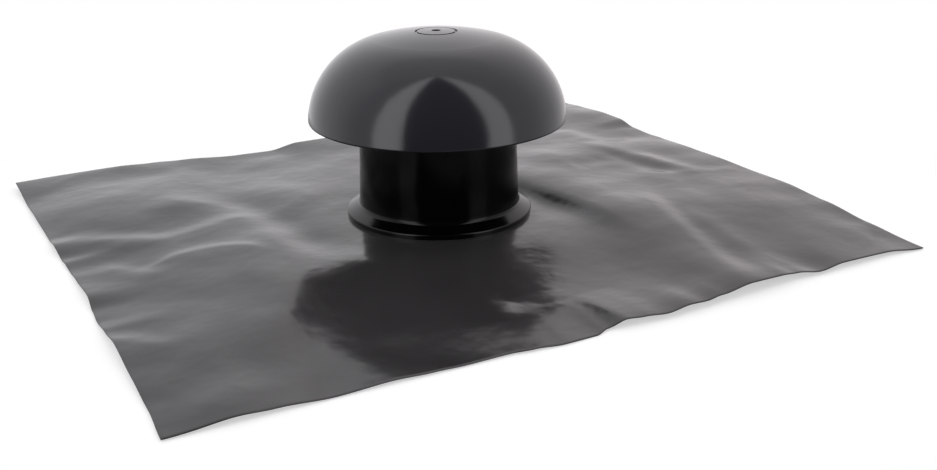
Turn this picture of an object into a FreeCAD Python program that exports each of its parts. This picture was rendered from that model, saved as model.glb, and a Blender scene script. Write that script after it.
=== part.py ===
import FreeCAD, Part
import math
import os
from collections import namedtuple

import Sketcher

# A roof vent cap for a 100 mm duct: a domed cap plugged into a short flanged sleeve, whose foot is
# bonded to a soft flashing sheet that lies in loose waves.
# The origin is the middle of the duct socket's mouth, level with the ground that the part stands on.
# +Z is up and +X runs along the long side of the sheet. Lengths are in millimetres.

DRIVING_SIZES = (
    ("rim_diameter", "171.3", "cap: outside of the rim"),
    ("dome_height", "57.7", "cap: from the rim to the top"),
    ("crown_radius", "183", "cap: arc over the top"),
    ("shoulder_radius", "56.5", "cap: arc from the crown down to the rim"),
    ("cap_wall", "2.5", "cap: wall of the dome"),
    ("cap_overlap", "22", "cap: how far the mouth of the sleeve stands above the rim"),
    ("cap_turn", "45", "cap: angle of the first fin from +X, in degrees"),
    ("fin_count", "4", "cap: fins that carry the dome on the sleeve"),
    ("fin_thickness", "2.5", "cap: thickness of a fin"),
    ("fin_reach", "15", "cap: how far a fin stands out past the sleeve"),
    ("plug_clearance", "0.3", "cap: gap between the plug and the sleeve, on the radius"),
    ("plug_wall", "2.4", "cap: wall of the plug"),
    ("plug_depth", "12", "cap: how far the plug goes into the sleeve"),
    ("plug_rise", "4", "cap: how far the plug stands up between the fins"),
    ("plug_lead", "1", "cap: slanted lead-in at the end of the plug"),
    ("ring_diameter", "28", "cap: outside of the moulded ring groove on the top"),
    ("ring_width", "1.6", "cap: width of the ring groove"),
    ("ring_depth", "0.7", "cap: depth of the ring groove and of the gate dimple"),
    ("gate_diameter", "6", "cap: gate dimple in the middle of the top"),
    ("socket_diameter", "100.4", "sleeve: bore that takes the duct"),
    ("socket_depth", "45", "sleeve: depth of the bore up to its stop"),
    ("stop_ledge", "1.6", "sleeve: ledge on which the duct stops"),
    ("sleeve_height", "93", "sleeve: from the ground to the mouth"),
    ("foot_wall", "3.8", "sleeve: wall at the foot"),
    ("sleeve_taper", "2.6", "sleeve: radius lost from the foot to the mouth"),
    ("mouth_rounding", "0.6", "sleeve: rounded edges of the mouth"),
    ("flange_width", "8.4", "sleeve: how far the flange stands out from the foot"),
    ("flange_edge", "3", "sleeve: height of the flange at its edge"),
    ("flange_rise", "4.3", "sleeve: rise of the flange from its edge to the wall"),
    ("flange_hollow", "3", "sleeve: hollow rounding between flange and wall"),
    ("flange_rounding", "0.8", "sleeve: rounded upper edge of the flange"),
    ("collar_drop", "5", "sleeve: collar that stands out below the sheet"),
    ("sheet_length", "482", "sheet: along X"),
    ("sheet_width", "418", "sheet: along Y"),
    ("sheet_thickness", "1.5", "sheet: thickness"),
    ("sheet_shift_x", "-3.5", "sheet: its middle, seen from the sleeve"),
    ("sheet_shift_y", "2.6", "sheet: its middle, seen from the sleeve"),
    ("hole_clearance", "0.3", "sheet: gap around the collar, on the radius"),
    ("seat_margin", "40", "sheet: flat stretch around the flange"),
    ("seat_slope", "60", "sheet: stretch over which it comes down from the flange"),
    ("wave_height", "10", "sheet: height of a full wave"),
    ("wave_width", "44", "sheet: half width of a full wave"),
)

# One wave of the sheet: a ridge along a straight line. The ends are shares of half the sheet's length
# and half its width, measured from its middle; height and width are shares of a full wave.
Wave = namedtuple("Wave", "start end height width")
WAVES = (
    Wave((0.98, -0.45), (0.98, 0.15), 0.80, 1.30),
    Wave((0.98, 0.58), (0.98, 0.88), 0.75, 1.00),
    Wave((0.70, 0.42), (0.80, 0.05), 0.35, 0.65),
    Wave((0.52, 0.20), (0.60, 0.00), 0.30, 0.65),
    Wave((0.66, -0.34), (0.84, -0.52), 0.25, 0.80),
    Wave((0.40, 0.05), (0.44, -0.40), 0.35, 0.65),
    Wave((0.54, -0.28), (0.44, -1.00), 0.60, 0.80),
    Wave((0.66, -1.00), (0.84, -1.00), 0.35, 0.80),
    Wave((0.02, -1.00), (0.20, -1.00), 0.25, 0.80),
    Wave((-0.56, -1.00), (-0.48, -0.75), 0.20, 0.90),
    Wave((-0.90, -1.00), (-0.84, -0.75), 0.35, 0.80),
    Wave((-1.00, -0.46), (-0.86, -0.62), 0.45, 0.70),
    Wave((-0.66, 0.12), (-0.54, -0.20), 0.40, 0.80),
    Wave((-1.00, 0.33), (-0.78, 0.16), 0.40, 0.65),
    Wave((-0.90, 0.72), (-0.46, 0.66), 0.40, 0.85),
    Wave((-0.98, 1.00), (-0.62, 1.00), 0.50, 0.75),
    Wave((0.05, 1.00), (0.40, 0.95), 0.45, 0.90),
)
# The sheet's upper face is a smooth surface over a net of points this far apart.
NET_PITCH = 25.0
# A sagging stretch of the sheet turns into one that lies on the ground over about this height.
GROUND_SOFTNESS = 0.6

# Places that pieces share, in terms of the driving sizes.
SOCKET_RADIUS = "(Sizes.socket_diameter / 2)"
BORE_RADIUS = f"({SOCKET_RADIUS} - Sizes.stop_ledge)"
FOOT_RADIUS = f"({SOCKET_RADIUS} + Sizes.foot_wall)"
MOUTH_RADIUS = f"({FOOT_RADIUS} - Sizes.sleeve_taper)"
FLANGE_RADIUS = f"({FOOT_RADIUS} + Sizes.flange_width)"
SEAT_HEIGHT = "(Sizes.collar_drop + Sizes.sheet_thickness)"
EDGE_HEIGHT = f"({SEAT_HEIGHT} + Sizes.flange_edge)"
JUNCTION_HEIGHT = f"({EDGE_HEIGHT} + Sizes.flange_rise)"
PLUG_RADIUS = f"({BORE_RADIUS} - Sizes.plug_clearance)"
PLUG_INSIDE = f"({PLUG_RADIUS} - Sizes.plug_wall)"
FIN_END = f"({MOUTH_RADIUS} + Sizes.fin_reach)"

# Sketcher counts a sketch's axes and its first borrowed edge down from -1, and the points of a line or an
# arc up from 1.
REFERENCES = ("horizontal axis", "vertical axis", "borrowed edge")
POINTS = ("start", "end", "centre")
# Edges of a round shape are told apart by radius and height, to this accuracy.
SAME_PLACE = 0.01

doc = FreeCAD.newDocument("vent_cap")
sizes = doc.addObject("Spreadsheet::Sheet", "Sizes")
for row, (alias, value, meaning) in enumerate(DRIVING_SIZES, start=1):
    sizes.set(f"A{row}", meaning)
    sizes.set(f"B{row}", value)
    sizes.setAlias(f"B{row}", alias)
doc.recompute()


def number(expression):
    """Value of an expression in the driving sizes."""
    return float(sizes.evalExpression(expression))


def origin_feature(body, role):
    """Plane or axis of a body's own origin."""
    return next(item for item in body.Origin.OriginFeatures if item.Role == role)


def sketch_on(body, name, role):
    """Empty sketch on one of the body's origin planes."""
    sketch = body.newObject("Sketcher::SketchObject", name)
    sketch.AttachmentSupport = [(origin_feature(body, role), "")]
    sketch.MapMode = "FlatFace"
    return sketch


def constrain(sketch, kind, *references, size=None):
    """Adds a constraint between elements and points given by name, and binds its value to an expression."""
    known = {name: -1 - place for place, name in enumerate(REFERENCES)}
    known.update((name, 1 + place) for place, name in enumerate(POINTS))
    numbers = [known.get(reference, reference) for reference in references]
    if size is None:
        sketch.addConstraint(Sketcher.Constraint(kind, *numbers))
        return
    index = sketch.addConstraint(Sketcher.Constraint(kind, *numbers, number(size)))
    sketch.setExpression(f"Constraints[{index}]", size)


def place_point(sketch, element, point, across, up):
    """Holds a point at its distances from the sketch's two axes, or on an axis where that is 0."""
    if across == "0":
        constrain(sketch, "PointOnObject", element, point, "vertical axis")
    else:
        constrain(sketch, "DistanceX", "horizontal axis", "start", element, point, size=across)
    if up == "0":
        constrain(sketch, "PointOnObject", element, point, "horizontal axis")
    else:
        constrain(sketch, "DistanceY", "horizontal axis", "start", element, point, size=up)


def polygon(sketch, corners):
    """Closed outline of straight lines through corners, each a pair of expressions."""
    points = [FreeCAD.Vector(number(across), number(up), 0) for across, up in corners]
    lines = []
    for begin, finish in zip(points, points[1:] + points[:1]):
        lines.append(sketch.addGeometry(Part.LineSegment(begin, finish)))
    for line, following in zip(lines, lines[1:] + lines[:1]):
        constrain(sketch, "Coincident", line, "end", following, "start")
    for line, (across, up) in zip(lines, corners):
        place_point(sketch, line, "start", across, up)


def turned(body, name, sketch, kind="PartDesign::Revolution"):
    """Turns a sketch once round the upright axis, adding or cutting."""
    feature = body.newObject(kind, name)
    feature.Profile = sketch
    feature.ReferenceAxis = (sketch, ["V_Axis"])
    feature.Angle = 360
    doc.recompute()
    return feature


def round_edges(body, name, base, circles, radius):
    """Rounds the circular edges of a feature that have the given radius and height."""
    names = []
    for index, edge in enumerate(base.Shape.Edges, start=1):
        if edge.Degenerated or not isinstance(edge.Curve, Part.Circle):
            continue
        for edge_radius, height in circles:
            near_radius = abs(edge.Curve.Radius - edge_radius) < SAME_PLACE
            near_height = abs(edge.Curve.Center.z - height) < SAME_PLACE
            if near_radius and near_height:
                names.append(f"Edge{index}")
    if len(names) != len(circles):
        raise RuntimeError(f"{name}: found {len(names)} of {len(circles)} edges")
    fillet = body.newObject("PartDesign::Fillet", name)
    fillet.Base = (base, names)
    fillet.setExpression("Radius", radius)
    doc.recompute()
    return fillet


def arc(centre, radius, begin, finish):
    """Arc of a circle between two angles, turning to the left."""
    return Part.ArcOfCircle(Part.Circle(centre, FreeCAD.Vector(0, 0, 1), radius), begin, finish)


def build_sleeve():
    """Tapered sleeve with a sloped flange at its foot and a collar that goes through the sheet."""
    body = doc.addObject("PartDesign::Body", "sleeve")
    profile = sketch_on(body, "sleeve_profile", "XZ_Plane")
    polygon(profile, (
        (SOCKET_RADIUS, "0"),
        (FOOT_RADIUS, "0"),
        (FOOT_RADIUS, SEAT_HEIGHT),
        (FLANGE_RADIUS, SEAT_HEIGHT),
        (FLANGE_RADIUS, EDGE_HEIGHT),
        (FOOT_RADIUS, JUNCTION_HEIGHT),
        (MOUTH_RADIUS, "Sizes.sleeve_height"),
        (BORE_RADIUS, "Sizes.sleeve_height"),
        (BORE_RADIUS, "Sizes.socket_depth"),
        (SOCKET_RADIUS, "Sizes.socket_depth"),
    ))
    wall = turned(body, "sleeve_wall", profile)
    junction = ((number(FOOT_RADIUS), number(JUNCTION_HEIGHT)),)
    hollow = round_edges(body, "flange_hollow", wall, junction, "Sizes.flange_hollow")
    edge = ((number(FLANGE_RADIUS), number(EDGE_HEIGHT)),)
    rim = round_edges(body, "flange_rounding", hollow, edge,
                      "min(Sizes.flange_rounding; 0.4 * Sizes.flange_edge)")
    mouth = ((number(MOUTH_RADIUS), number("Sizes.sleeve_height")),
             (number(BORE_RADIUS), number("Sizes.sleeve_height")))
    round_edges(body, "mouth_rounding", rim, mouth,
                f"min(Sizes.mouth_rounding; 0.4 * ({MOUTH_RADIUS} - {BORE_RADIUS}))")
    return body


def shoulder_centre():
    """Middle of the shoulder's arc: it touches the crown's arc from inside and passes through the rim."""
    crown, shoulder = number("Sizes.crown_radius"), number("Sizes.shoulder_radius")
    crown_centre = FreeCAD.Vector(0, number("Sizes.dome_height") - crown, 0)
    rim = FreeCAD.Vector(number("Sizes.rim_diameter / 2"), number("Sizes.cap_wall / 2"), 0)
    span = (rim - crown_centre).Length
    along = ((crown - shoulder) ** 2 - shoulder ** 2 + span ** 2) / (2 * span)
    aside = math.sqrt((crown - shoulder) ** 2 - along ** 2)
    ahead = (rim - crown_centre) / span
    left = FreeCAD.Vector(-ahead.y, ahead.x, 0)
    return crown_centre, crown_centre + ahead * along + left * aside


def dome_profile(body):
    """Section of the dome: crown and shoulder arcs outside, the same arcs one wall further in, a round rim."""
    sketch = sketch_on(body, "dome_profile", "XZ_Plane")
    crown, shoulder = number("Sizes.crown_radius"), number("Sizes.shoulder_radius")
    wall = number("Sizes.cap_wall")
    crown_centre, centre = shoulder_centre()
    touch = math.atan2(centre.y - crown_centre.y, centre.x)
    rim = FreeCAD.Vector(number("Sizes.rim_diameter / 2"), wall / 2, 0)
    begin = math.atan2(rim.y - centre.y, rim.x - centre.x)
    rim_centre = centre + (rim - centre) * ((shoulder - wall / 2) / shoulder)
    outer_top = FreeCAD.Vector(0, crown_centre.y + crown, 0)
    inner_top = FreeCAD.Vector(0, outer_top.y - wall, 0)
    outer_crown = sketch.addGeometry(arc(crown_centre, crown, touch, math.pi / 2))
    outer_shoulder = sketch.addGeometry(arc(centre, shoulder, begin, touch))
    inner_shoulder = sketch.addGeometry(arc(centre, shoulder - wall, begin, touch))
    inner_crown = sketch.addGeometry(arc(crown_centre, crown - wall, touch, math.pi / 2))
    round_rim = sketch.addGeometry(arc(rim_centre, wall / 2, begin + math.pi, begin + 2 * math.pi))
    axis = sketch.addGeometry(Part.LineSegment(inner_top, outer_top))
    constrain(sketch, "PointOnObject", outer_crown, "centre", "vertical axis")
    constrain(sketch, "Coincident", inner_crown, "centre", outer_crown, "centre")
    constrain(sketch, "Coincident", inner_shoulder, "centre", outer_shoulder, "centre")
    constrain(sketch, "Radius", outer_crown, size="Sizes.crown_radius")
    constrain(sketch, "Radius", outer_shoulder, size="Sizes.shoulder_radius")
    constrain(sketch, "Radius", inner_shoulder, size="Sizes.shoulder_radius - Sizes.cap_wall")
    place_point(sketch, outer_crown, "end", "0", "Sizes.dome_height")
    constrain(sketch, "PointOnObject", inner_crown, "end", "vertical axis")
    constrain(sketch, "Tangent", outer_crown, "start", outer_shoulder, "end")
    constrain(sketch, "Tangent", inner_crown, "start", inner_shoulder, "end")
    place_point(sketch, outer_shoulder, "start", "Sizes.rim_diameter / 2", "Sizes.cap_wall / 2")
    constrain(sketch, "Tangent", round_rim, "end", outer_shoulder, "start")
    constrain(sketch, "Tangent", round_rim, "start", inner_shoulder, "start")
    constrain(sketch, "Coincident", axis, "start", inner_crown, "end")
    constrain(sketch, "Coincident", axis, "end", outer_crown, "end")
    doc.recompute()
    return sketch, outer_shoulder


def fin_profile(body, dome, shoulder):
    """Side of one fin: flat below, where it stands on the sleeve, and sunk into the dome's wall above."""
    sketch = sketch_on(body, "fin_profile", "XZ_Plane")
    sketch.addExternal(dome.Name, f"Edge{shoulder + 1}")
    _, centre = shoulder_centre()
    radius = number("Sizes.shoulder_radius - Sizes.cap_wall / 2")
    inside, outside, seat = number(PLUG_INSIDE), number(FIN_END), number("Sizes.cap_overlap")
    inner_top = centre.y + math.sqrt(radius ** 2 - (inside - centre.x) ** 2)
    outer_top = centre.y + math.sqrt(radius ** 2 - (outside - centre.x) ** 2)
    corners = [FreeCAD.Vector(inside, inner_top, 0), FreeCAD.Vector(inside, seat, 0),
               FreeCAD.Vector(outside, seat, 0), FreeCAD.Vector(outside, outer_top, 0)]
    inner_edge = sketch.addGeometry(Part.LineSegment(corners[0], corners[1]))
    seat_edge = sketch.addGeometry(Part.LineSegment(corners[1], corners[2]))
    outer_edge = sketch.addGeometry(Part.LineSegment(corners[2], corners[3]))
    begin = math.atan2(outer_top - centre.y, outside - centre.x)
    finish = math.atan2(inner_top - centre.y, inside - centre.x)
    top_edge = sketch.addGeometry(arc(centre, radius, begin, finish))
    constrain(sketch, "Coincident", top_edge, "centre", "borrowed edge", "centre")
    constrain(sketch, "Radius", top_edge, size="Sizes.shoulder_radius - Sizes.cap_wall / 2")
    constrain(sketch, "Coincident", inner_edge, "start", top_edge, "end")
    constrain(sketch, "Coincident", inner_edge, "end", seat_edge, "start")
    constrain(sketch, "Coincident", seat_edge, "end", outer_edge, "start")
    constrain(sketch, "Coincident", outer_edge, "end", top_edge, "start")
    constrain(sketch, "Vertical", inner_edge)
    constrain(sketch, "Vertical", outer_edge)
    place_point(sketch, seat_edge, "start", PLUG_INSIDE, "Sizes.cap_overlap")
    place_point(sketch, seat_edge, "end", FIN_END, "Sizes.cap_overlap")
    doc.recompute()
    return sketch


def build_cap():
    """Domed cap moulded with fins that stand on the sleeve's mouth and a plug that goes into it."""
    body = doc.addObject("PartDesign::Body", "cap")
    section, shoulder = dome_profile(body)
    turned(body, "dome", section)

    fin = body.newObject("PartDesign::Pad", "fin")
    fin.Profile = fin_profile(body, section, shoulder)
    fin.SideType = "Symmetric"
    fin.setExpression("Length", "Sizes.fin_thickness")
    doc.recompute()
    fins = body.newObject("PartDesign::PolarPattern", "fins")
    fins.Originals = [fin]
    fins.Axis = (origin_feature(body, "Z_Axis"), [""])
    fins.Angle = 360
    fins.setExpression("Occurrences", "Sizes.fin_count")
    body.Tip = fins
    doc.recompute()

    plug_profile = sketch_on(body, "plug_profile", "XZ_Plane")
    plug_low = "Sizes.cap_overlap - Sizes.plug_depth"
    polygon(plug_profile, (
        (PLUG_INSIDE, plug_low),
        (f"{PLUG_RADIUS} - Sizes.plug_lead", plug_low),
        (PLUG_RADIUS, f"{plug_low} + Sizes.plug_lead"),
        (PLUG_RADIUS, "Sizes.cap_overlap + Sizes.plug_rise"),
        (PLUG_INSIDE, "Sizes.cap_overlap + Sizes.plug_rise"),
    ))
    turned(body, "plug", plug_profile)

    marks_profile = sketch_on(body, "marks_profile", "XZ_Plane")
    ring_radius = "(Sizes.ring_diameter / 2)"
    top_at_ring = f"(Sizes.dome_height - Sizes.crown_radius + sqrt(Sizes.crown_radius^2 - {ring_radius}^2))"
    above = "Sizes.dome_height + Sizes.ring_depth"
    polygon(marks_profile, (
        (f"{ring_radius} - Sizes.ring_width", f"{top_at_ring} - Sizes.ring_depth"),
        (ring_radius, f"{top_at_ring} - Sizes.ring_depth"),
        (ring_radius, above),
        (f"{ring_radius} - Sizes.ring_width", above),
    ))
    polygon_on_axis(marks_profile, "Sizes.gate_diameter / 2", "Sizes.dome_height - Sizes.ring_depth", above)
    before = body.Shape.Volume
    marks = turned(body, "top_marks", marks_profile, "PartDesign::Groove")
    if not marks.Shape.Volume < before:
        raise RuntimeError("the ring groove cut nothing")

    turn = FreeCAD.Rotation(FreeCAD.Vector(0, 0, 1), number("Sizes.cap_turn"))
    body.Placement = FreeCAD.Placement(FreeCAD.Vector(0, 0, 0), turn)
    body.setExpression("Placement.Base.z", "Sizes.sleeve_height - Sizes.cap_overlap")
    return body


def polygon_on_axis(sketch, radius, low, high):
    """Upright rectangle from the axis out to a radius."""
    polygon(sketch, (("0", low), (radius, low), (radius, high), ("0", high)))


def smooth_step(share):
    """0 below 0 and 1 above 1, with a smooth rise between."""
    share = min(max(share, 0.0), 1.0)
    return share * share * (3 - 2 * share)


def sheet_underside(x, y):
    """Height of the sheet's underside: flat under the flange, and waves that lie on the ground around it."""
    half_length, half_width = number("Sizes.sheet_length / 2"), number("Sizes.sheet_width / 2")
    wave_height, wave_width = number("Sizes.wave_height"), number("Sizes.wave_width")
    height = 0.0
    for wave in WAVES:
        begin = FreeCAD.Vector(wave.start[0] * half_length, wave.start[1] * half_width, 0)
        finish = FreeCAD.Vector(wave.end[0] * half_length, wave.end[1] * half_width, 0)
        run = finish - begin
        here = FreeCAD.Vector(x, y, 0) - begin
        share = min(max(here.dot(run) / run.dot(run), 0.0), 1.0)
        distance = (here - run * share).Length
        height += wave.height * wave_height * math.exp(-(distance / (wave.width * wave_width)) ** 2)
    return 0.5 * (height + math.sqrt(height ** 2 + GROUND_SOFTNESS ** 2)) - 0.5 * GROUND_SOFTNESS


def sheet_surface():
    """Upper face of the sheet, a smooth surface over a net of points on the waves."""
    length, width = number("Sizes.sheet_length"), number("Sizes.sheet_width")
    shift = FreeCAD.Vector(number("Sizes.sheet_shift_x"), number("Sizes.sheet_shift_y"), 0)
    flat = number(f"{FLANGE_RADIUS} + Sizes.seat_margin")
    slope, drop = number("Sizes.seat_slope"), number("Sizes.collar_drop")
    thickness = number("Sizes.sheet_thickness")
    columns, rows = math.ceil(length / NET_PITCH), math.ceil(width / NET_PITCH)
    net = []
    for column in range(columns + 1):
        x = (column / columns - 0.5) * length
        line = []
        for row in range(rows + 1):
            y = (row / rows - 0.5) * width
            away = math.hypot(x + shift.x, y + shift.y)
            free = smooth_step((away - flat) / slope)
            under = drop + (sheet_underside(x, y) - drop) * free
            line.append(FreeCAD.Vector(x, y, under + thickness) + shift)
        net.append(line)
    degree = 3
    surface = Part.BSplineSurface()
    surface.buildFromPolesMultsKnots(
        net, knot_repeats(columns, degree), knot_repeats(rows, degree), knots(columns, degree),
        knots(rows, degree), False, False, degree, degree)
    return surface.toShape()


def knots(spans, degree):
    """Evenly spaced knots of a curve through spans + 1 points."""
    return [float(index) for index in range(spans - degree + 2)]


def knot_repeats(spans, degree):
    """How often each knot counts, so that the curve ends on its end points."""
    return [degree + 1] + [1] * (spans - degree) + [degree + 1]


def build_sheet():
    """Soft sheet in waves, with a hole for the sleeve's collar."""
    face = doc.addObject("Part::Feature", "sheet_face")
    face.Shape = sheet_surface()
    slab = doc.addObject("Part::Extrusion", "sheet_slab")
    slab.Base = face
    slab.DirMode = "Custom"
    slab.Dir = FreeCAD.Vector(0, 0, -1)
    slab.Solid = True
    slab.setExpression("LengthFwd", "Sizes.sheet_thickness")
    hole = doc.addObject("Part::Cylinder", "sheet_hole")
    hole.setExpression("Radius", f"{FOOT_RADIUS} + Sizes.hole_clearance")
    hole.setExpression("Height", f"{SEAT_HEIGHT} + Sizes.collar_drop")
    sheet = doc.addObject("Part::Cut", "flashing_sheet")
    sheet.Base = slab
    sheet.Tool = hole
    return sheet


nodes = (build_sleeve(), build_cap(), build_sheet())
doc.recompute()
for item in doc.Objects:
    if "Invalid" in item.State or "Error" in item.State:
        raise RuntimeError(f"{item.Label} failed: {item.State}")
os.makedirs("parts", exist_ok=True)
for node in nodes:
    if node.Shape.isNull() or not node.Shape.isValid() or len(node.Shape.Solids) != 1:
        raise RuntimeError(f"{node.Label} is not one valid solid")
for node in nodes:
    node.Shape.exportStep(f"parts/{node.Label}.step")
    box = node.Shape.BoundBox
    print(f"{node.Label}: {node.Shape.Volume / 1000:.1f} cm3, "
          f"x {box.XMin:.1f} to {box.XMax:.1f}, y {box.YMin:.1f} to {box.YMax:.1f}, "
          f"z {box.ZMin:.2f} to {box.ZMax:.2f}")
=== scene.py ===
"""Roof vent cap on a soft flashing sheet: finishes for the mouldings, the sheet in its folds, and a studio.

The file is laid out as an add-on and run as a script. Blender's lengths are metres in the part's own frame,
+Z up, with the origin in the middle of the sleeve's foot. The sheet's folds are written in millimetres.
"""
import math
from collections import namedtuple

import bpy
import numpy as np
from bpy.props import FloatProperty, FloatVectorProperty, IntProperty, PointerProperty
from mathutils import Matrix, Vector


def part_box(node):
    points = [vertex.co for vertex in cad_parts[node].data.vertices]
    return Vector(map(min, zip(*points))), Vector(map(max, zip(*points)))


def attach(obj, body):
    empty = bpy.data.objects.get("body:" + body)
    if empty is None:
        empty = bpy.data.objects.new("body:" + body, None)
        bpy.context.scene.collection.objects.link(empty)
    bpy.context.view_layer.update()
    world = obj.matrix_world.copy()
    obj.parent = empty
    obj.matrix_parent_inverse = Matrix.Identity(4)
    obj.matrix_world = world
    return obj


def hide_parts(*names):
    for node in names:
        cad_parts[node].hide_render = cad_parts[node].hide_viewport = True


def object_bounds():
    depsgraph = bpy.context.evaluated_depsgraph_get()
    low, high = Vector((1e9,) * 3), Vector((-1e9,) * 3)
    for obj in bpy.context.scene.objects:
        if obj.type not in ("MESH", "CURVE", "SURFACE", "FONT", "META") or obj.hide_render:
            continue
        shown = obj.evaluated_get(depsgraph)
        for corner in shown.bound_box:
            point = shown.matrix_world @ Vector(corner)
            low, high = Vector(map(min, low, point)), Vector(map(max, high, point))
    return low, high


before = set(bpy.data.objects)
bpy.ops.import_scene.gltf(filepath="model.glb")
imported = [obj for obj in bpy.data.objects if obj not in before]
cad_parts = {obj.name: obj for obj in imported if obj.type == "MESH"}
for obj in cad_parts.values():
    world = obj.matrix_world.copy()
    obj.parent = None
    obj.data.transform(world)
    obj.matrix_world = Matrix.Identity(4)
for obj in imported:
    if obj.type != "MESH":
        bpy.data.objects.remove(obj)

bl_info = {
    "name": "Roof Vent Cap",
    "version": (1, 0, 0),
    "blender": (4, 5, 0),
    "location": "View3D > Sidebar > Vent Cap",
    "description": "Dresses a roof vent cap and lays its soft flashing sheet in folds",
    "category": "Object",
}

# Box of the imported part, the corners of its sheet's own box, and the radius of the sleeve's flange.
CAD_BOX = [list(corner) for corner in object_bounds()]
SHEET_LOW, SHEET_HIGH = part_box("flashing_sheet")
FLANGE_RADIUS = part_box("sleeve")[1].x
# One millimetre in Blender's metres.
MM = 0.001

# A fold of the sheet, in millimetres: a crest from start to end, bowed to its left by bow at the middle.
# left and right are how far it spreads to either side. A negative height is a crease.
Fold = namedtuple("Fold", "start end bow height left right")

BACK_LEFT_FOLDS = (
    Fold((-278, 120), (-112, 90), 4, 5.4, 66, 44),
    Fold((-240, 156), (-98, 164), 0, 1.2, 20, 40),
    Fold((-174, 113), (-106, 54), 0, 1.3, 14, 26),
    Fold((-112, 128), (-62, 44), 4, 1.2, 18, 24),
    Fold((-130, 174), (10, 172), 0, -1.5, 40, 48),
)
LEFT_FOLDS = (
    Fold((-218, 30), (-98, 56), -6, 1.7, 13, 30),
    Fold((-270, 62), (-172, 28), 10, 2.5, 12, 13),
    Fold((-262, 36), (-190, 40), 0, 0.8, 7, 9),
    Fold((-216, -18), (-124, -38), 26, 1.9, 10, 50),
    Fold((-230, 18), (-194, -28), 0, 1.0, 8, 11),
    Fold((-272, -70), (-212, -130), 0, 1.5, 10, 45),
    Fold((-126, -112), (-126, 88), 0, 1.9, 48, 20),
    Fold((-112, 40), (-174, -172), 0, 3.2, 21, 65),
    Fold((-190, -190), (-20, -75), 52, 2.5, 36, 25),
    Fold((-208, -84), (-202, -216), 0, 1.9, 17, 34),
    Fold((-116, 122), (-93, -66), 0, -1.7, 15, 17),
)
RIGHT_FOLDS = (
    Fold((102, 150), (122, -170), 0, 2.6, 75, 34),
    Fold((34, 82), (88, -116), 20, 4.4, 52, 11),
    Fold((22, 78), (68, -84), 20, -2.3, 10, 26),
    Fold((90, -60), (96, -240), 0, 1.2, 30, 18),
    Fold((130, -34), (88, -222), 0, 2.8, 12, 48),
    Fold((150, -40), (120, -150), 0, -1.0, 20, 9),
    Fold((112, -66), (232, -136), 0, 2.6, 30, 52),
    Fold((168, -66), (262, -86), 0, 2.2, 20, 26),
    Fold((142, -72), (125, -224), 0, 1.1, 9, 10),
)
FRONT_FOLDS = (
    Fold((-48, -96), (-46, -236), 0, 2.0, 26, 44),
    Fold((-78, -142), (100, -150), 0, -3.1, 49, 26),
)
BACK_RIGHT_FOLDS = (
    Fold((162, 98), (198, -40), 2, 0.9, 9, 10),
    Fold((188, 42), (204, -34), -2, 1.3, 9, 10),
    Fold((164, 56), (185, -28), 2, -0.7, 9, 9),
    Fold((156, -4), (250, -34), -12, 1.4, 10, 44),
    Fold((96, 46), (206, 56), 0, 2.2, 36, 24),
    Fold((122, 22), (166, 30), 5, -0.8, 12, 9),
    Fold((176, 132), (180, 74), 0, 1.1, 10, 14),
    Fold((170, 70), (248, 54), -3, 1.2, 14, 40),
)
FOLDS = BACK_LEFT_FOLDS + LEFT_FOLDS + RIGHT_FOLDS + FRONT_FOLDS + BACK_RIGHT_FOLDS
# Share of a fold's length over which it comes up at either end.
FOLD_FADE = 0.3

# Faint ripples all over the sheet: direction in degrees, wavelength and height in millimetres.
RIPPLES = ((20, 61, 0.14), (75, 47, 0.10), (128, 53, 0.12), (164, 37, 0.07))
# How a ripple's line wanders: its own wavelengths to one wander, and the size of the wander in radians.
WANDER_LENGTH = 2.7
WANDER_SIZE = 1.6

# Broad lie of the sheet, in millimetres: its lowest height and its rise. The rise goes by x times the first
# share of LIE_WAY plus y times the second, from LIE_START on and over LIE_RUN.
LIE_LOW = 1.5
LIE_RISE = 4.5
LIE_WAY = (0.9, 0.3)
LIE_START = -60
LIE_RUN = 240

# Each edge of the sheet: place along it, height off the ground and how far it swells outward, in millimetres.
# HEIGHT and SWELL name the last two columns.
HEIGHT, SWELL = 1, 2
FRONT_EDGE = (
    (-245, 1.2, 0.0), (-212, 3.6, 0.0), (-190, 2.2, 0.0), (-160, 0.6, 0.5), (-130, 1.6, 0.5),
    (-108, 1.0, 1.2), (-90, 0.6, 1.6), (-65, 1.0, 1.8), (-50, 1.3, 3.8), (-33, 0.6, 5.4), (-13, 0.0, 4.5),
    (-3, 1.2, 1.5), (8, 4.6, 2.8), (19, 4.2, 4.0), (34, 3.4, 5.2), (51, 4.8, 4.2), (62, 4.0, 3.4),
    (74, 4.8, 2.2), (98, 6.8, 0.8), (121, 5.9, -0.6), (134, 4.3, -2.0), (152, 2.2, -0.8),
    (172, 3.6, -2.0), (210, 3.3, -3.0), (238, 0.8, -0.6),
)
RIGHT_EDGE = (
    (-207, 0.6, 0.0), (-160, 3.2, 0.0), (-120, 6.5, 0.0), (-80, 8.6, 0.0), (-40, 8.0, 0.0),
    (-15, 8.3, 0.0), (25, 7.4, 0.0), (65, 6.1, 0.0), (84, 5.4, 0.0), (104, 5.8, 0.0), (124, 8.9, 0.0),
    (146, 8.8, 0.0), (186, 7.0, 0.0), (212, 4.0, 0.0),
)
BACK_EDGE = (
    (-245, 4.4, 0.0), (-216, 5.3, 0.0), (-170, 5.6, 0.0), (-145, 4.5, 0.0), (-122, 3.4, 0.0),
    (-75, 0.5, 0.0), (-50, 0.0, 0.0), (-24, 4.0, 0.0), (60, 5.0, 0.0), (150, 5.0, 0.0), (200, 6.0, 0.0),
    (238, 4.5, 0.0),
)
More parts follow.
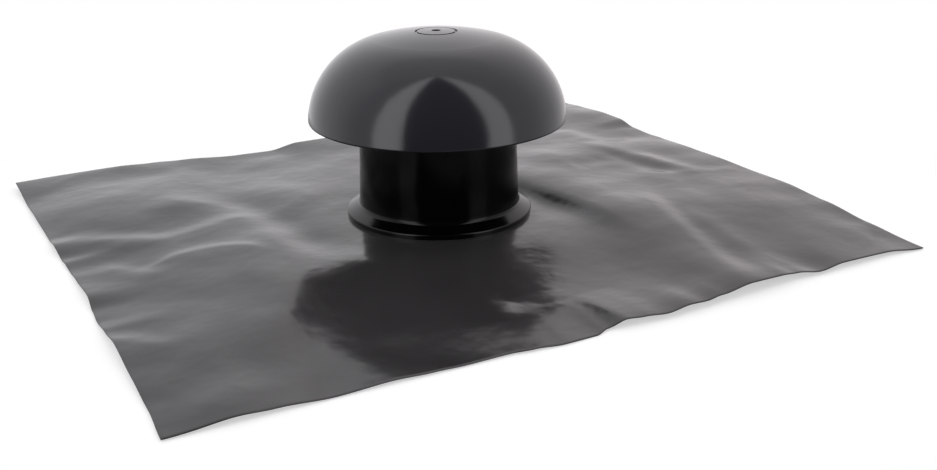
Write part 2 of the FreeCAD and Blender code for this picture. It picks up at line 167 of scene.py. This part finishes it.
LEFT_EDGE = (
    (-207, 0.4, 0.0), (-176, 0.5, -1.6), (-142, 2.4, -1.8), (-102, 4.4, -2.1), (-82, 2.8, -1.5),
    (-64, 0.9, -1.2), (-48, 0.6, -2.0), (-28, 3.2, -3.0), (2, 1.8, -2.4), (22, 0.6, -2.0), (34, 1.3, -1.6),
    (42, 0.6, -1.2), (64, 3.4, -0.4), (84, 1.0, -0.4), (130, 2.0, 0.5), (170, 1.0, 1.0), (212, 4.4, 1.5),
)
# How far round a corner the swell of a side reaches into the next one, in metres.
SWELL_REACH = 0.01

# Points round the sheet's rounded edge, and rows of the mesh on top for each row below.
EDGE_POINTS = 7
TOP_ROWS_TO_ONE_BELOW = 4

# Heights between which the sleeve's gloss goes over from the flange's to the wall's, in metres.
FLANGE_TOP = 0.012
WALL_FOOT = 0.018
# Scale of the rubbed streaks on the sleeve, drawn out along Z.
STREAK_SCALE = (1.0, 1.0, 0.15)
# Refraction of the moulded plastic and of the sheet's elastomer.
PLASTIC_IOR = 1.5
ELASTOMER_IOR = 1.46
# Values between which nearly all of a noise texture lies.
NOISE_LOW = 0.3
NOISE_HIGH = 0.7

# The studio is a white tent with a dark slot on the camera's side, between two bright panels: the azimuth
# from the slot's direction, in degrees, the light from there low down, and its level high up. LOW_DOWN and
# HIGH_UP name the last two columns.
LOW_DOWN, HIGH_UP = 1, 2
TENT = (
    (-180, (1.13, 1.10, 1.12), 0.9), (-160, (1.10, 1.10, 1.13), 0.9), (-95, (1.02, 1.02, 1.04), 0.86),
    (-75, (0.77, 0.77, 0.79), 0.75), (-58, (0.75, 0.75, 0.77), 0.75), (-54, (2.45, 2.45, 2.45), 2.45),
    (-32, (2.45, 2.45, 2.45), 2.45), (-28, (0.04, 0.04, 0.04), 0.04), (43, (0.04, 0.04, 0.04), 0.04),
    (47, (2.20, 2.20, 2.20), 2.2), (67, (2.20, 2.20, 2.20), 2.2), (71, (0.73, 0.73, 0.75), 0.75),
    (95, (0.76, 0.76, 0.78), 0.8), (165, (1.14, 1.08, 1.09), 0.9), (180, (1.13, 1.10, 1.12), 0.9),
)
TENT_BRIGHTEST = max(max(row[LOW_DOWN]) for row in TENT)
# Angles above the horizon between which the light goes over from low down to high up, in degrees.
TENT_SHOULDER = (50, 60)
FLOOR_CORNERS = 96
# Width of the camera's sensor, in millimetres.
SENSOR_WIDTH = 36.0


class CapSettings(bpy.types.PropertyGroup):
    """Finish of the moulded cap."""
    colour: FloatVectorProperty(
        name="Colour", description="Anthracite of the moulding",
        subtype="COLOR", size=3, min=0, max=1, default=(0.0190, 0.0196, 0.0245))
    roughness: FloatProperty(
        name="Roughness", description="Blur of its gloss", subtype="FACTOR", min=0, max=1, default=0.15)
    grain: FloatProperty(
        name="Grain", description="Depth of the moulding's fine grain", unit="LENGTH", default=0.000004)


class SleeveSettings(bpy.types.PropertyGroup):
    """Finish of the moulded sleeve."""
    colour: FloatVectorProperty(
        name="Colour", description="Black of the moulding",
        subtype="COLOR", size=3, min=0, max=1, default=(0.0014, 0.0012, 0.0015))
    roughness: FloatProperty(
        name="Roughness", description="Blur of its gloss", subtype="FACTOR", min=0, max=1, default=0.16)
    flange_shine: FloatProperty(
        name="Flange shine", description="Strength of the flange's gloss",
        subtype="FACTOR", min=0, max=1, default=0.26)
    wall_shine: FloatProperty(
        name="Wall shine", description="Strength of the wall's gloss",
        subtype="FACTOR", min=0, max=1, default=0.09)


class SheetSettings(bpy.types.PropertyGroup):
    """Size, lie and finish of the flashing sheet."""
    thickness: FloatProperty(
        name="Thickness", description="Thickness of the sheet", unit="LENGTH", default=0.0008)
    seat_height: FloatProperty(
        name="Seat height", description="Height of its upper face under the flange",
        unit="LENGTH", default=0.0065)
    seat_margin: FloatProperty(
        name="Seat margin", description="Stretch outside the flange over which its broad lie stays flat",
        unit="LENGTH", default=0.014)
    seat_slope: FloatProperty(
        name="Seat slope", description="Stretch over which it comes down from the flange",
        unit="LENGTH", default=0.13)
    fold_start: FloatProperty(
        name="Fold start", description="Stretch over which folds come up beside the flange",
        unit="LENGTH", default=0.005)
    hole_radius: FloatProperty(
        name="Hole", description="Radius of the hole for the sleeve's collar", unit="LENGTH", default=0.0543)
    edge_reach: FloatProperty(
        name="Edge reach", description="How far in an edge's own waves reach", unit="LENGTH", default=0.026)
    softness: FloatProperty(
        name="Softness", description="Height over which a fold comes to lie on the ground",
        unit="LENGTH", default=0.0003)
    spacing: FloatProperty(
        name="Spacing", description="Distance between the mesh's lines at the edge",
        unit="LENGTH", default=0.0025)
    rows: IntProperty(name="Rows", description="Rows of the mesh from the hole to the edge", default=96)
    colour: FloatVectorProperty(
        name="Colour", description="Black of the sheet",
        subtype="COLOR", size=3, min=0, max=1, default=(0.0315, 0.0298, 0.0310))
    roughness: FloatProperty(
        name="Roughness", description="Blur of its gloss", subtype="FACTOR", min=0, max=1, default=0.17)
    unevenness: FloatProperty(
        name="Unevenness", description="Depth of the small uneven places in its face",
        unit="LENGTH", default=0.0006)


class StudioSettings(bpy.types.PropertyGroup):
    """Camera, floor and surroundings."""
    camera_place: FloatVectorProperty(
        name="Camera place", description="Where the camera stands",
        size=3, subtype="TRANSLATION", unit="LENGTH", default=(-0.33616, -0.67522, 0.26855))
    camera_turn: FloatVectorProperty(
        name="Camera turn", description="How the camera is turned", size=3, subtype="EULER", unit="ROTATION",
        default=(math.radians(69.502), math.radians(0.553), math.radians(-28.167)))
    lens: FloatProperty(
        name="Lens", description="Focal length of the camera, in millimetres", unit="CAMERA", default=44.757)
    floor_radius: FloatProperty(
        name="Floor radius", description="Radius of the round table", unit="LENGTH", default=0.38)
    floor_colour: FloatVectorProperty(
        name="Floor colour", description="Pale floor",
        subtype="COLOR", size=3, min=0, max=1, default=(0.55, 0.55, 0.55))
    floor_lift: FloatProperty(
        name="Floor lift", description="Light added to the floor where the camera sees it", default=0.52)
    tent_turn: FloatProperty(
        name="Tent turn", description="Direction of the tent's slot, from +X",
        unit="ROTATION", default=math.radians(-117.96))


def smooth_step(share):
    """0 below 0, 1 above 1, and 3 s^2 - 2 s^3 between."""
    share = np.clip(share, 0, 1)
    return share * share * (3 - 2 * share)


def fold_heights(x, y):
    """Sum of all folds: each is height times exp(-(distance from the crest / spread)^2), faded at its ends.

    The crest is a parabola over the straight line from start to end, and the spread differs on its two sides.
    """
    total = np.zeros_like(x)
    for fold in FOLDS:
        start = np.array(fold.start, float)
        run = np.array(fold.end, float) - start
        length = np.hypot(*run)
        ahead = run / length
        share = ((x - start[0]) * ahead[0] + (y - start[1]) * ahead[1]) / length
        on_line = np.clip(share, 0, 1)
        aside = (y - start[1]) * ahead[0] - (x - start[0]) * ahead[1]
        aside -= fold.bow * 4 * on_line * (1 - on_line)
        spread = np.where(aside > 0, fold.left, fold.right)
        fade = smooth_step(share / FOLD_FADE) * smooth_step((1 - share) / FOLD_FADE)
        total += fold.height * fade * np.exp(-(aside / spread) ** 2)
    return total


def ripple_heights(x, y):
    """Sum of the faint ripples, each a sine whose line wanders with a slower sine across it."""
    total = np.zeros_like(x)
    for turn, length, height in RIPPLES:
        angle = math.radians(turn)
        ahead = x * math.cos(angle) + y * math.sin(angle)
        aside = y * math.cos(angle) - x * math.sin(angle)
        wander = np.sin(2 * math.pi * aside / (WANDER_LENGTH * length))
        total += height * np.sin(2 * math.pi * ahead / length + WANDER_SIZE * wander)
    return total


def lie_heights(x, y):
    """Lie of the sheet: a smooth step up from the left to the back right, with folds and ripples on it."""
    rise = smooth_step((LIE_WAY[0] * x + LIE_WAY[1] * y - LIE_START) / LIE_RUN)
    return LIE_LOW + LIE_RISE * rise + fold_heights(x, y) + ripple_heights(x, y)


def along_edge(edge, place, column):
    """Height or swell along an edge: a smooth step from each given place to the next."""
    places, values = np.array(edge, float).T[[0, column]]
    span = np.clip(np.searchsorted(places, place) - 1, 0, len(places) - 2)
    share = (place - places[span]) / (places[span + 1] - places[span])
    return values[span] + (values[span + 1] - values[span]) * smooth_step(share)


def sheet_underside(x, y, settings):
    """Height of the sheet's underside over a point, in millimetres.

    Near each edge the lie is pulled to that edge's own height, by a weight of exp(-(distance from the edge /
    reach)^2). What would be below the ground is softly lifted onto it: half of the height plus half of the
    root of height^2 + softness^2. Outside the flange the broad lie leaves the flat seat by a smooth step over
    the seat's slope, and folds and ripples come up as 1 - exp(-distance from the flange / fold start).
    """
    left, front, _ = SHEET_LOW / MM
    right, back, _ = SHEET_HIGH / MM
    height = lie_heights(x, y)
    pull, weight = np.zeros_like(height), np.zeros_like(height)
    sides = ((FRONT_EDGE, x, (x, np.full_like(y, front)), y - front),
             (BACK_EDGE, x, (x, np.full_like(y, back)), back - y),
             (LEFT_EDGE, y, (np.full_like(x, left), y), x - left),
             (RIGHT_EDGE, y, (np.full_like(x, right), y), right - x))
    for edge, place, foot, distance in sides:
        near = np.exp(-(distance / (settings.edge_reach / MM)) ** 2)
        pull += near * (along_edge(edge, place, HEIGHT) - lie_heights(*foot))
        weight += near
    height = height + pull / np.maximum(weight, 1)
    height = 0.5 * (height + np.hypot(height, settings.softness / MM))
    seat = (settings.seat_height - settings.thickness) / MM
    radius = np.hypot(x, y)
    relief = fold_heights(x, y) + ripple_heights(x, y)
    settle = smooth_step((radius - (FLANGE_RADIUS + settings.seat_margin) / MM) / (settings.seat_slope / MM))
    close = 1 - np.exp(-np.maximum(radius - FLANGE_RADIUS / MM, 0) / (settings.fold_start / MM))
    return seat + (height - relief - seat) * settle + relief * close


def sheet_outline(spacing):
    """Points round the sheet: evenly spaced on the four sides of its box, then moved outward by the swell.

    Each side's swell counts by exp(-(distance from that side / swell reach)^2), so corners share two of them.
    """
    low, high = np.array(SHEET_LOW.xy), np.array(SHEET_HIGH.xy)
    corners = np.array([(low[0], low[1]), (high[0], low[1]), (high[0], high[1]), (low[0], high[1])])
    sides = []
    for corner, following in zip(corners, np.roll(corners, -1, axis=0)):
        count = round(np.linalg.norm(following - corner) / spacing)
        share = np.arange(count)[:, None] / count
        sides.append(corner + (following - corner) * share)
    outline = np.concatenate(sides)
    swollen = outline.copy()
    borders = ((FRONT_EDGE, 0, 1, low[1], -1),
               (BACK_EDGE, 0, 1, high[1], 1),
               (LEFT_EDGE, 1, 0, low[0], -1),
               (RIGHT_EDGE, 1, 0, high[0], 1))
    for edge, along, across, border, outward in borders:
        near = np.exp(-((outline[:, across] - border) / SWELL_REACH) ** 2)
        swollen[:, across] += outward * near * along_edge(edge, outline[:, along] / MM, SWELL) * MM
    return swollen


def sheet_section(thickness, rows):
    """Section of the sheet: on top from the hole to the edge, round it in a half circle, and back below.

    It gives the share of the way out, the distance kept from the edge, and the level: 0 below, 1 on top.
    """
    under_rows = rows // TOP_ROWS_TO_ONE_BELOW
    turn = np.linspace(math.pi / 2, -math.pi / 2, EDGE_POINTS)
    top, below = np.linspace(0, 1, rows)[:-1], np.linspace(1, 0, under_rows)[1:]
    out = np.concatenate([top, np.ones_like(turn), below])
    keep = np.concatenate([np.zeros_like(top), (1 - np.cos(turn)) * thickness / 2, np.zeros_like(below)])
    level = np.concatenate([np.ones_like(top), (1 + np.sin(turn)) / 2, np.zeros_like(below)])
    return out, keep, level


def sheet_points(settings):
    """Grid of points on the closed sheet: round its outline, and along its section at each place there.

    In plan the section runs straight from the rim of the hole to the outline, on a line through the origin.
    A point's height is the underside's there plus the section's level times the thickness.
    """
    outline = sheet_outline(settings.spacing)
    outward = outline / np.linalg.norm(outline, axis=1, keepdims=True)
    rim = outward * settings.hole_radius
    reach = np.linalg.norm(outline - rim, axis=1)
    out, keep, level = sheet_section(settings.thickness, settings.rows)
    share = out[None, :] - keep[None, :] / reach[:, None]
    plan = rim[:, None, :] + (outline - rim)[:, None, :] * share[..., None]
    under = sheet_underside(plan[..., 0] / MM, plan[..., 1] / MM, settings) * MM
    height = under + level[None, :] * settings.thickness
    return np.concatenate([plan, height[..., None]], axis=2)


def closed_grid(name, points):
    """Mesh of a grid of points that closes on itself in both directions, with smooth faces."""
    across, along = points.shape[:2]
    here = np.arange(across * along).reshape(across, along)
    after = np.roll(here, -1, axis=0)
    corners = [here, after, np.roll(after, -1, axis=1), np.roll(here, -1, axis=1)]
    faces = np.stack(corners, axis=-1).reshape(-1, 4)
    mesh = bpy.data.meshes.new(name)
    mesh.from_pydata(points.reshape(-1, 3), [], faces)
    mesh.polygons.foreach_set("use_smooth", np.ones(len(faces), bool))
    mesh.update()
    piece = bpy.data.objects.new(name, mesh)
    bpy.context.scene.collection.objects.link(piece)
    return piece


def add_node(tree, kind, inputs=(), **values):
    """Node of a tree with its values set and its inputs, given by name or number, set or linked."""
    node = tree.nodes.new(kind)
    for key, value in values.items():
        setattr(node, key, value)
    for key, value in dict(inputs).items():
        if isinstance(value, bpy.types.NodeSocket):
            tree.links.new(value, node.inputs[key])
        else:
            node.inputs[key].default_value = value
    return node


def new_finish(name):
    """Empty material with its output, and the piece's own coordinates."""
    material = bpy.data.materials.new(name)
    material.use_nodes = True
    tree = material.node_tree
    tree.nodes.clear()
    output = tree.nodes.new("ShaderNodeOutputMaterial")
    place = tree.nodes.new("ShaderNodeTexCoord").outputs["Object"]
    return material, tree, output, place


def mottle(tree, place, scale, detail, low, high):
    """Soft noise over the piece, stretched to run from low to high."""
    noise = add_node(tree, "ShaderNodeTexNoise", {"Vector": place, "Scale": scale, "Detail": detail})
    spread = add_node(tree, "ShaderNodeMapRange", {
        "Value": noise.outputs["Fac"], "From Min": NOISE_LOW, "From Max": NOISE_HIGH,
        "To Min": low, "To Max": high})
    return spread.outputs["Result"]


def scaled(tree, colour, share):
    """A colour times a share, each of them a value or a node's output."""
    product = add_node(tree, "ShaderNodeVectorMath", {0: colour, "Scale": share}, operation="SCALE")
    return product.outputs[0]


def uneven(tree, place, scale, detail, depth):
    """Normal of a face with soft noise of the given depth, in metres, raised on it."""
    noise = add_node(tree, "ShaderNodeTexNoise", {"Vector": place, "Scale": scale, "Detail": detail})
    bump = add_node(tree, "ShaderNodeBump", {
        "Height": noise.outputs["Fac"], "Strength": 1.0, "Distance": depth})
    return bump.outputs["Normal"]


def glossy(tree, output, inputs):
    """Principled shader with the given inputs, led to the material's output."""
    shader = add_node(tree, "ShaderNodeBsdfPrincipled", inputs)
    tree.links.new(shader.outputs["BSDF"], output.inputs["Surface"])


def cap_finish(settings):
    """Satin-gloss anthracite moulding with a faint grain."""
    material, tree, output, place = new_finish("cap_anthracite")
    share = mottle(tree, place, scale=9.0, detail=3.0, low=0.95, high=1.05)
    gloss = mottle(tree, place, scale=24.0, detail=4.0,
                   low=settings.roughness * 0.95, high=settings.roughness * 1.05)
    glossy(tree, output, {
        "Base Color": scaled(tree, (*settings.colour,), share), "Roughness": gloss, "IOR": PLASTIC_IOR,
        "Normal": uneven(tree, place, scale=900.0, detail=2.0, depth=settings.grain)})
    return material


def sleeve_finish(settings):
    """Glossy black moulding with faint rubbed streaks up its wall, and a shinier flange."""
    material, tree, output, place = new_finish("sleeve_black")
    stretched = add_node(tree, "ShaderNodeMapping", {"Vector": place, "Scale": STREAK_SCALE})
    gloss = mottle(tree, stretched.outputs["Vector"], scale=60.0, detail=3.0,
                   low=settings.roughness * 0.85, high=settings.roughness * 1.2)
    share = mottle(tree, place, scale=14.0, detail=2.0, low=0.9, high=1.1)
    rise = add_node(tree, "ShaderNodeSeparateXYZ", {0: place}).outputs["Z"]
    shine = add_node(tree, "ShaderNodeMapRange", {
        "Value": rise, "From Min": FLANGE_TOP, "From Max": WALL_FOOT,
        "To Min": settings.flange_shine, "To Max": settings.wall_shine})
    glossy(tree, output, {
        "Base Color": scaled(tree, (*settings.colour,), share), "Roughness": gloss, "IOR": PLASTIC_IOR,
        "Specular IOR Level": shine.outputs["Result"]})
    return material


def sheet_finish(settings):
    """Smooth black elastomer with a soft gloss, a little uneven, and duller in patches."""
    material, tree, output, place = new_finish("flashing_elastomer")
    share = mottle(tree, place, scale=7.0, detail=4.0, low=0.9, high=1.1)
    gloss = mottle(tree, place, scale=16.0, detail=5.0,
                   low=settings.roughness * 0.85, high=settings.roughness * 1.2)
    glossy(tree, output, {
        "Base Color": scaled(tree, (*settings.colour,), share), "Roughness": gloss, "IOR": ELASTOMER_IOR,
        "Normal": uneven(tree, place, scale=42.0, detail=2.4, depth=settings.unevenness)})
    return material


def dress(node, material):
    """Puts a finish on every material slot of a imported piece."""
    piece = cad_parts[node]
    if not piece.material_slots:
        raise RuntimeError(f"{node} has no material slot")
    for slot in piece.material_slots:
        slot.material = material


class DressCap(bpy.types.Operator):
    """Give the cap its satin anthracite finish"""
    bl_idname = "vent_cap.dress_cap"
    bl_label = "Dress the cap"

    def execute(self, context):
        dress("cap", cap_finish(context.scene.vent_cap_cap))
        return {"FINISHED"}


class DressSleeve(bpy.types.Operator):
    """Give the sleeve its glossy black finish"""
    bl_idname = "vent_cap.dress_sleeve"
    bl_label = "Dress the sleeve"

    def execute(self, context):
        dress("sleeve", sleeve_finish(context.scene.vent_cap_sleeve))
        return {"FINISHED"}


class LaySheet(bpy.types.Operator):
    """Lay the flashing sheet in its folds around the flange"""
    bl_idname = "vent_cap.lay_sheet"
    bl_label = "Lay the sheet"

    def execute(self, context):
        settings = context.scene.vent_cap_sheet
        piece = closed_grid("soft_flashing", sheet_points(settings))
        piece.data.materials.append(sheet_finish(settings))
        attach(piece, "root")
        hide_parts("flashing_sheet")
        return {"FINISHED"}


def tent_ramp(tree, turn, column):
    """Light of the tent by azimuth, low down or high up: a colour ramp over a full turn, scaled up.

    A new ramp has a stop at either end of the turn, and the rest are put between them.
    """
    ramp = add_node(tree, "ShaderNodeValToRGB", {"Fac": turn})
    stops = ramp.color_ramp.elements
    for azimuth, *_ in TENT[1:-1]:
        stops.new((azimuth + 180) / 360)
    for stop, row in zip(stops, TENT):
        light = np.broadcast_to(row[column], 3) / TENT_BRIGHTEST
        stop.color = (*light, 1)
    return scaled(tree, ramp.outputs["Color"], TENT_BRIGHTEST)


def along_axis(tree, way, axis):
    """How far a direction points along an axis."""
    product = add_node(tree, "ShaderNodeVectorMath", {0: way, 1: axis}, operation="DOT_PRODUCT")
    return product.outputs["Value"]


def build_world(settings):
    """White tent around the object; what the camera sees of it is plain white."""
    world = bpy.data.worlds.new("white_tent")
    world.use_nodes = True
    tree = world.node_tree
    tree.nodes.clear()
    way = tree.nodes.new("ShaderNodeTexCoord").outputs["Generated"]
    slot = (math.cos(settings.tent_turn), math.sin(settings.tent_turn), 0.0)
    ahead = along_axis(tree, way, slot)
    aside = along_axis(tree, way, (-slot[1], slot[0], 0.0))
    azimuth = add_node(tree, "ShaderNodeMath", {0: aside, 1: ahead}, operation="ARCTAN2").outputs[0]
    turn = add_node(tree, "ShaderNodeMapRange", {
        "Value": azimuth, "From Min": -math.pi, "From Max": math.pi}).outputs["Result"]
    rise = add_node(tree, "ShaderNodeSeparateXYZ", {0: way}).outputs["Z"]
    shoulder_low, shoulder_high = (math.sin(math.radians(angle)) for angle in TENT_SHOULDER)
    high = add_node(tree, "ShaderNodeMapRange", {
        "Value": rise, "From Min": shoulder_low, "From Max": shoulder_high}, interpolation_type="SMOOTHSTEP")
    light = add_node(tree, "ShaderNodeMix", {
        "Factor": high.outputs["Result"], "A": tent_ramp(tree, turn, LOW_DOWN),
        "B": tent_ramp(tree, turn, HIGH_UP)}, data_type="VECTOR")
    tent = add_node(tree, "ShaderNodeBackground", {"Color": light.outputs[1]})
    white = add_node(tree, "ShaderNodeBackground", {"Color": (1, 1, 1, 1)})
    seen = tree.nodes.new("ShaderNodeLightPath").outputs["Is Camera Ray"]
    shown = add_node(tree, "ShaderNodeMixShader", {0: seen, 1: tent.outputs[0], 2: white.outputs[0]})
    output = tree.nodes.new("ShaderNodeOutputWorld")
    tree.links.new(shown.outputs[0], output.inputs["Surface"])
    bpy.context.scene.world = world


def floor_finish(settings):
    """Pale matt floor, lifted to white where the camera sees it, with the shadow kept."""
    material, tree, output, _ = new_finish("floor_white")
    paint = add_node(tree, "ShaderNodeBsdfDiffuse", {"Color": (*settings.floor_colour, 1)})
    seen = tree.nodes.new("ShaderNodeLightPath").outputs["Is Camera Ray"]
    strength = add_node(tree, "ShaderNodeMath", {0: seen, 1: settings.floor_lift}, operation="MULTIPLY")
    lift = add_node(tree, "ShaderNodeEmission", {"Color": (1, 1, 1, 1), "Strength": strength.outputs[0]})
    both = add_node(tree, "ShaderNodeAddShader", {0: paint.outputs[0], 1: lift.outputs[0]})
    tree.links.new(both.outputs[0], output.inputs["Surface"])
    return material


def build_floor(settings):
    """Round table at the level of the sleeve's foot: one face with its corners evenly spaced on a circle."""
    turn = np.linspace(0, 2 * math.pi, FLOOR_CORNERS, endpoint=False)
    rim = np.stack([np.cos(turn), np.sin(turn), np.zeros_like(turn)], axis=1) * settings.floor_radius
    mesh = bpy.data.meshes.new("floor")
    mesh.from_pydata(rim + (0, 0, CAD_BOX[0][2]), [], [range(len(turn))])
    mesh.materials.append(floor_finish(settings))
    floor = bpy.data.objects.new("floor", mesh)
    bpy.context.scene.collection.objects.link(floor)


def build_camera(settings):
    """Camera at the photograph's place."""
    data = bpy.data.cameras.new("camera")
    data.sensor_fit = "HORIZONTAL"
    data.sensor_width = SENSOR_WIDTH
    data.lens = settings.lens
    camera = bpy.data.objects.new("camera", data)
    camera.location = settings.camera_place
    camera.rotation_euler = settings.camera_turn
    bpy.context.scene.collection.objects.link(camera)
    bpy.context.scene.camera = camera


class SetStage(bpy.types.Operator):
    """Put up the floor, the white tent and the camera"""
    bl_idname = "vent_cap.set_stage"
    bl_label = "Set the stage"

    def execute(self, context):
        settings = context.scene.vent_cap_studio
        build_world(settings)
        build_floor(settings)
        build_camera(settings)
        context.scene.view_settings.view_transform = "Standard"
        return {"FINISHED"}


OPERATORS = (DressCap, DressSleeve, LaySheet, SetStage)
SETTINGS = {
    "vent_cap_cap": CapSettings,
    "vent_cap_sleeve": SleeveSettings,
    "vent_cap_sheet": SheetSettings,
    "vent_cap_studio": StudioSettings,
}


class VentCapPanel(bpy.types.Panel):
    """Sizes, finishes and steps of the vent cap"""
    bl_idname = "VIEW3D_PT_vent_cap"
    bl_label = "Vent cap"
    bl_space_type = "VIEW_3D"
    bl_region_type = "UI"
    bl_category = "Vent Cap"

    def draw(self, context):
        for operator, (name, group) in zip(OPERATORS, SETTINGS.items()):
            box = self.layout.box()
            for key in group.__annotations__:
                box.prop(getattr(context.scene, name), key)
            box.operator(operator.bl_idname)


CLASSES = (*SETTINGS.values(), *OPERATORS, VentCapPanel)


def register():
    """Registers the classes and hangs the settings on the scene."""
    for item in CLASSES:
        bpy.utils.register_class(item)
    for name, group in SETTINGS.items():
        setattr(bpy.types.Scene, name, PointerProperty(type=group))


def unregister():
    """Takes the settings and the classes away again."""
    for name in SETTINGS:
        delattr(bpy.types.Scene, name)
    for item in reversed(CLASSES):
        bpy.utils.unregister_class(item)


def main():
    """Builds everything in order."""
    register()
    bpy.ops.vent_cap.dress_cap()
    bpy.ops.vent_cap.dress_sleeve()
    bpy.ops.vent_cap.lay_sheet()
    bpy.ops.vent_cap.set_stage()


if __name__ == "__main__":
    main()
